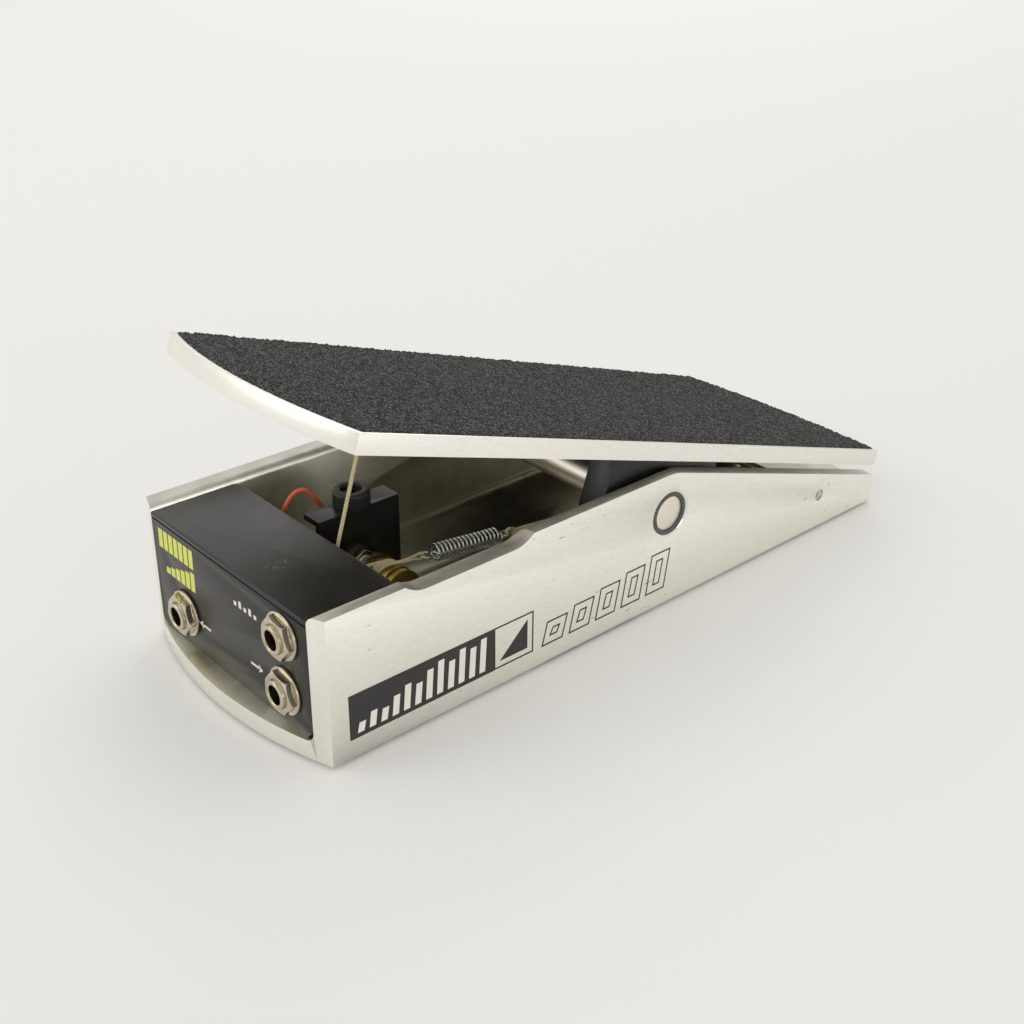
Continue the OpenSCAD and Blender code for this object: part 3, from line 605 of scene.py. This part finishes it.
class PEDAL_OT_prints(bpy.types.Operator):
    """Print the plain bars on the side wall and the marks by the jacks"""

    bl_idname = "pedal.prints"
    bl_label = "Prints"

    def execute(self, context):
        lift = PRINT_LIFT
        low, high = 6.4, 22.3
        panel = flat_shapes([box_shape(15.4, low, 71.6, high)], on_wall, lift)
        finished(panel, "wall_panel_print", "base", MATERIALS["print_black"], smooth=0)
        levels = [3.5, 5.5, 4.5, 7.0, 9.0, 7.5, 10.5, 12.0, 10.0, 12.5, 11.0, 12.5]
        bars = [box_shape(18.2 + 4.3 * k, 8.0, 20.6 + 4.3 * k, 8.0 + level, 0.8) for k, level in enumerate(levels)]
        white = flat_shapes(bars, on_wall, 2 * lift)
        finished(white, "wall_level_print", "base", MATERIALS["print_white"], smooth=0)
        line = PRINT_LINE
        square = outline_shapes(box_shape(71.6, low + 0.1, 88.6, high), line)
        wedge = [[(74.0, 9.0), (86.0, 9.0), (86.0, 20.0)]]
        steps = []
        for k, tall in enumerate([9.0, 10.5, 12.0, 13.5, 15.5]):
            start = 92.2 + 12.3 * k
            steps += outline_shapes(box_shape(start, low, start + 9.6, low + tall, 2.4), line)
            steps += outline_shapes(box_shape(start + 3.4, low + 2.9, start + 7.0, low + tall - 2.9, 1.6), line)
        dark = flat_shapes(square + wedge + steps, on_wall, lift)
        finished(dark, "wall_outline_print", "base", MATERIALS["print_black"], smooth=0)
        row = [box_shape(-41.2 + 3.15 * k, 37.2, -38.7 + 3.15 * k, 44.2, 0.3) for k in range(7)]
        ramp = [box_shape(-38.2 + 3.15 * k, 28.6, -35.7 + 3.15 * k, 31.0 + 0.95 * k, 0.3) for k in range(6)]
        lime = flat_shapes(row + ramp, on_plate, lift)
        finished(lime, "plate_ramp_print", "base", MATERIALS["print_lime"], smooth=0)
        marks = []
        for u, v, way in ((-15.0, 18.2, -1), (14.0, 18.4, 1)):
            marks += [box_shape(u - 2.6, v - 0.45, u + 2.6, v + 0.45)]
            marks += [[(u + way * 4.2, v), (u + way * 2.0, v + 1.5), (u + way * 2.0, v - 1.5)][::way]]
        marks += [box_shape(4.2 + 2.8 * k, 35.9, 5.7 + 2.8 * k, 38.4 if k % 2 else 37.4) for k in range(5)]
        pale = flat_shapes(marks, on_plate, lift)
        finished(pale, "plate_mark_print", "base", MATERIALS["print_white"], smooth=0)
        return {"FINISHED"}


class PEDAL_OT_jack_box(bpy.types.Operator):
    """Make the black jack plate and its folded cover"""

    bl_idname = "pedal.jack_box"
    bl_label = "Jack box"

    def execute(self, context):
        dressed("jack_plate", "plate", "base", MATERIALS["coat"], 0.25)
        cover = dressed("jack_cover", "cover", "base", MATERIALS["coat"], 0.3)
        # The cover's front lip faces take the darker anodised black: painted shade for the lip and the groove under
        # it.
        cover.data.materials.append(MATERIALS["anodised"])
        for face in cover.data.polygons:
            if face.normal.y < -0.5 and face.center.y < at(0, PLATE_Y + 1, 0).y:
                face.material_index = 1
        return {"FINISHED"}


class PEDAL_OT_jacks(bpy.types.Operator):
    """Make the three jacks with their sleeves, washers and hexagon nuts"""

    bl_idname = "pedal.jacks"
    bl_label = "Jacks"

    def sleeve(self):
        """Threaded sleeve on Z, open end up, with a rolled lip."""
        top, low = SLEEVE_OUT, -2.2
        lip = [(SLEEVE_R - 0.25 + 0.45 * math.cos(a) - 0.2, top - 0.45 + 0.45 * math.sin(a))
               for a in [math.pi / 2 * k / 5 for k in range(6)]]
        bore = [(PLUG_R + 0.5 - 0.5 * math.sin(a), top - 0.5 + 0.5 * math.cos(a))
                for a in [math.pi / 2 * k / 5 for k in range(6)]]
        thread = []
        pitch = 0.55
        rows = int((top - 0.9 - low) / pitch)
        for k in range(rows):
            z = low + k * pitch
            thread += [(SLEEVE_R - 0.25, z), (SLEEVE_R, z + 0.2), (SLEEVE_R, z + 0.32), (SLEEVE_R - 0.25, z + 0.5)]
        return turned([(PLUG_R, low)] + thread + lip + bore, 72)

    def nut(self):
        """Hexagon nut on Z from 0 up, its corners chamfered by a cone."""
        bpy.ops.object.select_all(action="DESELECT")
        bpy.ops.mesh.primitive_cylinder_add(vertices=6, radius=NUT_R * MM, depth=NUT_T * MM,
                                            location=(0, 0, NUT_T / 2 * MM))
        obj = placed(bpy.context.view_layer.objects.active, Matrix.Identity(4))
        flat = NUT_R * math.cos(math.pi / 6)
        cone = turned([(0, -1), (NUT_R + 0.02, -1), (NUT_R + 0.02, NUT_T - 0.62), (flat - 0.15, NUT_T),
                       (0, NUT_T)], 96)
        hole = turned([(0, -1), (SLEEVE_R - 0.1, -1), (SLEEVE_R - 0.1, NUT_T - 0.3), (SLEEVE_R + 0.35, NUT_T + 0.1),
                       (SLEEVE_R + 0.35, NUT_T + 1), (0, NUT_T + 1)], 64)
        modified(obj, "BOOLEAN", object=cone, operation="INTERSECT", solver="EXACT")
        modified(obj, "BOOLEAN", object=hole, operation="DIFFERENCE", solver="EXACT")
        for tool in (cone, hole):
            bpy.data.objects.remove(tool)
        return broken_edges(obj, 0.08, 1, 25)

    def execute(self, context):
        sleeve, nut = self.sleeve(), self.nut()
        r, t = WASHER_R, WASHER_T
        washer = turned([(SLEEVE_R + 0.05, 0), (r - 0.25, 0), (r, 0.25), (r, t - 0.3), (r - 0.08, t - 0.1),
                         (r - 0.3, t), (SLEEVE_R + 0.3, t), (SLEEVE_R + 0.05, t - 0.2)], 72)
        parts = {"sleeve": [], "nuts": [], "washers": []}
        for name, x, z in JACKS:
            outwards = Matrix.Translation(at(x, PLATE_Y, z)) @ Matrix.Rotation(math.pi / 2, 4, "X")
            for kind, source, lift in (("sleeve", sleeve, 0), ("nuts", nut, WASHER_T), ("washers", washer, 0)):
                obj = source.copy()
                obj.data = source.data.copy()
                context.scene.collection.objects.link(obj)
                turn = Matrix.Rotation(math.radians(20), 4, "Z") if kind == "nuts" else Matrix.Identity(4)
                placed(obj, outwards @ Matrix.Translation((0, 0, lift * MM)) @ turn)
                parts[kind].append(obj)
            frame_part = copy_of_node(name + "_jack")
            with editing(frame_part):
                bpy.ops.mesh.bisect(plane_co=at(0, PLATE_Y + 2.02, 0), plane_no=(0, 1, 0), use_fill=False,
                                    clear_inner=True)
            whole = joined([parts["sleeve"][-1], frame_part])
            finished(whole, name + "_socket", "base", MATERIALS["nickel"], [name + "_jack"])
        for obj in (sleeve, nut, washer):
            bpy.data.objects.remove(obj)
        nickel = MATERIALS["nickel"]
        finished(joined(parts["nuts"]), "socket_nuts", "base", nickel, ["jack_nuts"], 28)
        finished(joined(parts["washers"]), "socket_washers", "base", nickel, ["jack_washers"])
        return {"FINISHED"}


class PEDAL_OT_control(bpy.types.Operator):
    """Make the rotary control, its bracket, its wire and the bumpers"""

    bl_idname = "pedal.control"
    bl_label = "Rotary control and bumpers"

    def execute(self, context):
        m = MATERIALS
        dressed("pot_bracket", "control_bracket", "base", m["anodised"], 0.3)
        dressed("pot_body", "control_case", "base", m["steel"], 0.35)
        dressed("pot_terminals", "control_lugs", "base", m["tinned"], 0)
        dressed("pot_nut", "control_nut", "base", m["nickel"], 0.15)
        dressed("toe_bumper", "front_bumper", "base", m["rubber"], 0.25)
        dressed("heel_bumper", "rear_bumper", "base", m["rubber"], 0.25)
        dressed("bumper_screws", "bumper_screw_pair", "base", m["black_steel"], 0.15)
        dressed("toe_guide_pin", "front_guide_pin", "base", m["steel"], 0.2)
        dressed("heel_guide_pin", "rear_guide_pin", "base", m["steel"], 0.25)
        route = [(-27, 24, 23.5), (-27, 27, 24), (-26.4, 29, 26.6), (-25, 31.5, 31), (-23.9, 35, 35.4),
                 (-23.2, 38.2, 38.8), (-22.2, 41, 42.5), (-21.4, 43.2, 47), (-20.7, 45.4, 50.4), (-19.9, 48, 51.9),
                 (-19.2, 50.4, 51.2), (-18.3, 52.4, 48.7), (-17.2, 54.2, 45.4), (-15.6, 56.4, 42.6),
                 (-14, 58, 41.2), (-12.4, 59.2, 40.4)]
        path = smooth_path([at(*p) for p in route], 0.8)
        wire = tubes([path[2:-2]], 0.78, sides=4)
        finished(wire, "signal_lead", "base", m["jacket"], ["signal_wire"])
        cores = tubes([path[:4], path[-4:]], 0.4)
        finished(cores, "signal_lead_ends", "base", m["tinned"])
        dressed("pot_shaft", "control_shaft", "drum", m["nickel"], 0.2)
        dressed("string_drum", "drum_body", "drum", m["brass"], 0.3)
        dressed("drum_screw", "drum_set_screw", "drum", m["black_steel"], 0)
        return {"FINISHED"}


class PEDAL_OT_cords(bpy.types.Operator):
    """Lay the drive cord: over the front pin, round the drum, to the spring and on to the heel"""

    bl_idname = "pedal.cords"
    bl_label = "Drive cord"

    def execute(self, context):
        looks = context.scene.pedal_looks
        r, pitch, m = looks.cord_radius, looks.cord_pitch, MATERIALS["cord"]
        x = TOE_STRING_X
        eye = on_board(x, *TOE_EYE)
        leave = at(x, *PIN_LEFT)
        span = [eye + (leave - eye) * k / 100 for k in range(101)]
        upper = laid_cord([span], r, pitch)
        finished(upper, "front_cord_upper", "base", m, ["toe_string"])
        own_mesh(upper)
        turn = [leave] + [at(x, FRONT_PIN[0] + WRAP_R * math.sin(a), FRONT_PIN[1] + WRAP_R * math.cos(a))
                          for a in [math.radians(-100 - 8 * k) for k in range(11)]]
        turn += [at(x, 46.5, TOP_Z)]
        turn += [at(x + (TURN_X - x) * (y - 46.5) / (POT_Y - 46.5), y, TOP_Z) for y in (49, 52, 55, 58, POT_Y)]
        lower = laid_cord([smooth_path(turn, 0.5)], r, pitch)
        finished(lower, "front_cord_lower", "base", m)
        rings = []
        for k in range(TURN_COUNT):
            ring_x = TURN_X + TURN_PITCH * k
            rings.append([at(ring_x, POT_Y + TURN_R * math.sin(a), POT_Z + TURN_R * math.cos(a))
                          for a in [math.tau * i / 96 for i in range(96)]])
        finished(laid_cord(rings, r, pitch, closed=True), "drum_cord", "drum", m, ["string_turns"])
        hook = 73.35
        pair = [run_point(POT_Y - 0.5, -0.5), run_point(62, -0.5), run_point(66, -0.5), run_point(70, -0.5, 0.35),
                run_point(72.3, -0.35, 0.95), run_point(hook + 0.2, -0.1, 0.5), run_point(hook + 0.25, 0.1, -0.5),
                run_point(72.3, 0.35, -0.95), run_point(70, 0.5, -0.3), run_point(66, 0.5), run_point(62, 0.5),
                run_point(POT_Y - 0.5, 0.1)]
        short = laid_cord([smooth_path(pair, 0.4)], r * 0.68, pitch * 0.8)
        finished(short, "spring_cord", None, m, ["spring_string"])
        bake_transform(short)
        tail = 110.65
        pin = HEEL_PIN[0]
        both = [run_point(pin - 0.2, -0.72), run_point(200, -0.72), run_point(160, -0.72), run_point(118, -0.7),
                run_point(114, -0.6, 0.5), run_point(111.7, -0.35, 1.05), run_point(tail - 0.2, -0.1, 0.5),
                run_point(tail - 0.25, 0.1, -0.5), run_point(111.7, 0.35, -1.05), run_point(114, 0.6, -0.4),
                run_point(118, 0.7), run_point(160, 0.72), run_point(200, 0.72), run_point(pin - 0.2, 0.72)]
        long = laid_cord([smooth_path(both, 0.55)], r, pitch)
        finished(long, "rear_cord", "base", m, ["heel_string"])
        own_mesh(long)
        eye = on_board(STRING_X, *HEEL_EYE)
        last = []
        for dx in (-0.72, 0.72):
            path = [run_point(pin - 0.4, dx), at(STRING_X + dx, 240.0, 11.45), at(STRING_X + dx, 240.9, 12.2),
                    at(STRING_X + dx, 241.4, 13.4), at(STRING_X + dx, 241.8, 15.5),
                    at(STRING_X + dx * 0.8, 242.3, 18.5), eye + Vector((dx * 0.4 * MM, 0, 0))]
            last.append(smooth_path(path, 0.5))
        end = laid_cord(last, r, pitch)
        finished(end, "rear_cord_end", None, m)
        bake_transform(end)
        return {"FINISHED"}


class PEDAL_OT_spring(bpy.types.Operator):
    """Wind the tension spring with a hook at each end"""

    bl_idname = "pedal.spring"
    bl_label = "Tension spring"

    def execute(self, context):
        looks = context.scene.pedal_looks
        m = MATERIALS["spring"]
        start, stop = WOUND
        up = Vector((0, -RUN.z, RUN.y))
        across = Vector((1, 0, 0))
        steps = looks.spring_turns * 28
        helix = []
        for k in range(steps + 1):
            a = math.tau * looks.spring_turns * k / steps
            centre = run_point(start + (stop - start) * k / steps)
            helix.append(centre + (across * math.cos(a) + up * math.sin(a)) * COIL_R * MM)
        coil = tubes([helix], looks.spring_wire, sides=4)
        finished(coil, "spring_body", "spring_heel_end", m, ["spring_coil"])
        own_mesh(coil)
        for name, body, end_y, way, node in (("spring_front_hook", "spring_toe_end", start, -1, "spring_toe_loop"),
                                             ("spring_rear_hook", "spring_heel_end", stop, 1, "spring_heel_loop")):
            centre_y = 78 - HOOK_REACH if way < 0 else 106 + HOOK_REACH
            eye = [run_point(centre_y + way * HOOK_R * math.cos(a), HOOK_R * math.sin(a))
                   for a in [math.radians(-165 + 15 * k) for k in range(21)]]
            first = run_point(end_y, COIL_R)
            bend = [first, run_point(end_y + way * 0.55, COIL_R * 0.8, 0.9), run_point(end_y + way * 0.9, 1.1, 0.9),
                    run_point(centre_y - way * 2.5, 0.35, 0.45)]
            hook = tubes([smooth_path(bend + eye[::-1][:20], 0.35)], looks.spring_wire * 0.98, sides=4)
            finished(hook, name, body, m, [node])
        return {"FINISHED"}


class PEDAL_OT_hinge(bpy.types.Operator):
    """Make the hinge bracket, its shaft, bushings and screws"""

    bl_idname = "pedal.hinge"
    bl_label = "Hinge"

    def execute(self, context):
        m = MATERIALS
        dressed("pivot_bushings", "bushings", "base", m["nylon"], 0.2)
        dressed("pivot_shaft", "hinge_shaft", "treadle", m["shaft"], 0.15)
        dressed("pivot_bracket", "hinge_bracket", "treadle", m["anodised"], 0.4)
        dressed("shaft_screws", "shaft_set_screws", "treadle", m["black_steel"], 0)
        dressed("board_screws", "bracket_screws", "treadle", m["black_steel"], 0.15)
        dressed("toe_eyelet", "front_eyelet", "treadle", m["steel"], 0.15)
        dressed("heel_eyelet", "rear_eyelet", "treadle", m["steel"], 0.15)
        return {"FINISHED"}


class PEDAL_OT_footboard(bpy.types.Operator):
    """Make the footboard and the grit on its grip sheet"""

    bl_idname = "pedal.footboard"
    bl_label = "Footboard"

    def execute(self, context):
        looks = context.scene.pedal_looks
        dressed("footboard", "board", "treadle", MATERIALS["board"], looks.edge)
        sheet = copy_of_node("grip_sheet")
        placed(sheet, BOARD.inverted())
        low = min(v.co.z for v in sheet.data.vertices)
        half = max(v.co.x for v in sheet.data.vertices)
        front = min(v.co.y for v in sheet.data.vertices)
        back = max(v.co.y for v in sheet.data.vertices)
        step = GRIT_STEP * MM
        columns, rows = round(2 * half / step), round((back - front) / step)
        bpy.ops.object.select_all(action="DESELECT")
        bpy.ops.mesh.primitive_grid_add(x_subdivisions=columns, y_subdivisions=rows, size=1)
        grid = bpy.context.view_layer.objects.active
        grid.data.transform(Matrix.Translation((0, (front + back) / 2, low + 0.45 * MM))
                            @ Matrix.Diagonal((2 * half, back - front, 1, 1)))
        edge = [(v.co.x, v.co.y) for v in sheet.data.vertices if v.co.z < low + 1e-5]
        toe_r, heel_r = self.arc_radius(edge, front, -1), self.arc_radius(edge, back, 1)
        rng = random.Random(4)
        lumps = bpy.data.textures.new("grit_grain", "CLOUDS")
        lumps.noise_scale = looks.grain * MM
        lumps.noise_depth = 1
        lumps.contrast = 1.8
        modified(grid, "DISPLACE", texture=lumps, texture_coords="LOCAL", strength=0.9 * MM, mid_level=0.5)
        bpy.data.textures.remove(lumps)
        top, foot = low + SHEET_T * MM, low + GRIT_FOOT * MM
        for v in grid.data.vertices:
            x, y = v.co.x, v.co.y
            t0 = front + toe_r - math.sqrt(toe_r ** 2 - x * x)
            t1 = back - heel_r + math.sqrt(heel_r ** 2 - x * x)
            ragged = (rng.random() - 0.6) * 0.5 * MM
            share = (y - front) / (back - front)
            v.co.y = t0 + (t1 - t0) * share
            if abs(x) > half - 0.4 * step:
                v.co.x = math.copysign(half - abs(ragged) * 0.9, x)
                v.co.z = foot
            margin = 0.4 * step / (back - front)
            if share < margin or share > 1 - margin:
                v.co.y += ragged * (1 if share > 0.5 else -1) * 0.5
                v.co.z = foot
            v.co.z = min(max(v.co.z, foot), top)
        bpy.data.objects.remove(sheet)
        placed(grid, BOARD)
        finished(grid, "grip_grit", "treadle", MATERIALS["grit"], ["grip_sheet"], smooth=50)
        return {"FINISHED"}

    @staticmethod
    def arc_radius(edge, end, way):
        """Radius of the curved end whose furthest point is at end."""
        half = max(x for x, _ in edge)
        corner = [y for x, y in edge if x > half - 1e-5 and y * way > 0]
        sag = abs(end - (max(corner) if way > 0 else min(corner)))
        return (half ** 2 + sag ** 2) / (2 * sag)


class PEDAL_OT_stage(bpy.types.Operator):
    """Set up the pale floor, the soft lights and the camera"""

    bl_idname = "pedal.stage"
    bl_label = "Stage"

    def execute(self, context):
        scene = context.scene
        bpy.ops.object.select_all(action="DESELECT")
        bpy.ops.mesh.primitive_plane_add(size=14)
        floor = context.view_layer.objects.active
        floor.name = "stage_floor"
        floor.data.materials.append(new_material("stage_paper", linear("#f0efec"), 0.75)[0])
        world = bpy.data.worlds.new("stage_world")
        world.use_nodes = True
        world.node_tree.nodes["Background"].inputs[0].default_value = linear("#fbfaf8")
        world.node_tree.nodes["Background"].inputs[1].default_value = 0.8
        scene.world = world
        scene.view_settings.view_transform = "Standard"
        middle, behind = Vector((0, 0, 0)), Vector((-1.5, 1.3, 0))
        for name, place, target, size, watts in (
                ("key", (-0.9, -1.4, 0.9), middle, 1.3, 6.0), ("side", (1.8, 0.1, 0.34), middle, 0.7, 3.0),
                ("top", (0.0, 0.3, 1.9), middle, 1.8, 2.6), ("sweep", (-1.5, 1.5, 1.4), behind, 1.6, 7.0)):
            light = bpy.data.lights.new(name, "AREA")
            light.shape = "DISK"
            light.size = size
            light.energy = watts
            light.color = (1.0, 0.99, 0.97)
            lamp = bpy.data.objects.new(name, light)
            scene.collection.objects.link(lamp)
            lamp.location = place
            lamp.visible_camera = False
            lamp.rotation_euler = (target - Vector(place)).to_track_quat("-Z", "Y").to_euler()
        camera = bpy.data.objects.new("camera", bpy.data.cameras.new("camera"))
        scene.collection.objects.link(camera)
        yaw, pitch, roll = (math.radians(turn) for turn in CAMERA_TURN)
        back = Vector((math.sin(yaw) * math.cos(pitch), -math.cos(yaw) * math.cos(pitch), math.sin(pitch)))
        level = Vector((math.cos(yaw), math.sin(yaw), 0))
        rise = back.cross(level)
        right = level * math.cos(roll) + rise * math.sin(roll)
        up = rise * math.cos(roll) - level * math.sin(roll)
        camera.matrix_world = Matrix.Translation(CAMERA_AT) @ Matrix(
            (right, up, back)).transposed().to_4x4()
        camera.data.lens = LENS_MM
        camera.data.sensor_width = 36
        camera.data.shift_x = -0.0175
        camera.data.shift_y = -0.0157
        camera.data.clip_start = 0.01
        scene.camera = camera
        return {"FINISHED"}


PIECES = (PEDAL_OT_channel, PEDAL_OT_prints, PEDAL_OT_jack_box, PEDAL_OT_jacks, PEDAL_OT_control,
          PEDAL_OT_cords, PEDAL_OT_spring, PEDAL_OT_hinge, PEDAL_OT_footboard)


class PEDAL_PT_panel(bpy.types.Panel):
    """Sizes, colours and pieces of the volume pedal"""

    bl_idname = "PEDAL_PT_panel"
    bl_label = "Volume pedal"
    bl_space_type = "VIEW_3D"
    bl_region_type = "UI"
    bl_category = "Pedal"

    def draw(self, context):
        looks = context.scene.pedal_looks
        for name in PedalLooks.__annotations__:
            self.layout.prop(looks, name)
        for piece in (PEDAL_OT_stage, *PIECES):
            self.layout.operator(piece.bl_idname)


CLASSES = (PedalLooks, PEDAL_OT_stage, *PIECES, PEDAL_PT_panel)


def register():
    for cls in CLASSES:
        bpy.utils.register_class(cls)
    bpy.types.Scene.pedal_looks = PointerProperty(type=PedalLooks)


def unregister():
    del bpy.types.Scene.pedal_looks
    for cls in reversed(CLASSES):
        bpy.utils.unregister_class(cls)


def main():
    register()
    make_materials(bpy.context.scene.pedal_looks)
    bpy.ops.pedal.stage()
    for piece in PIECES:
        group, name = piece.bl_idname.split(".")
        getattr(getattr(bpy.ops, group), name)()


if __name__ == "__main__":
    main()
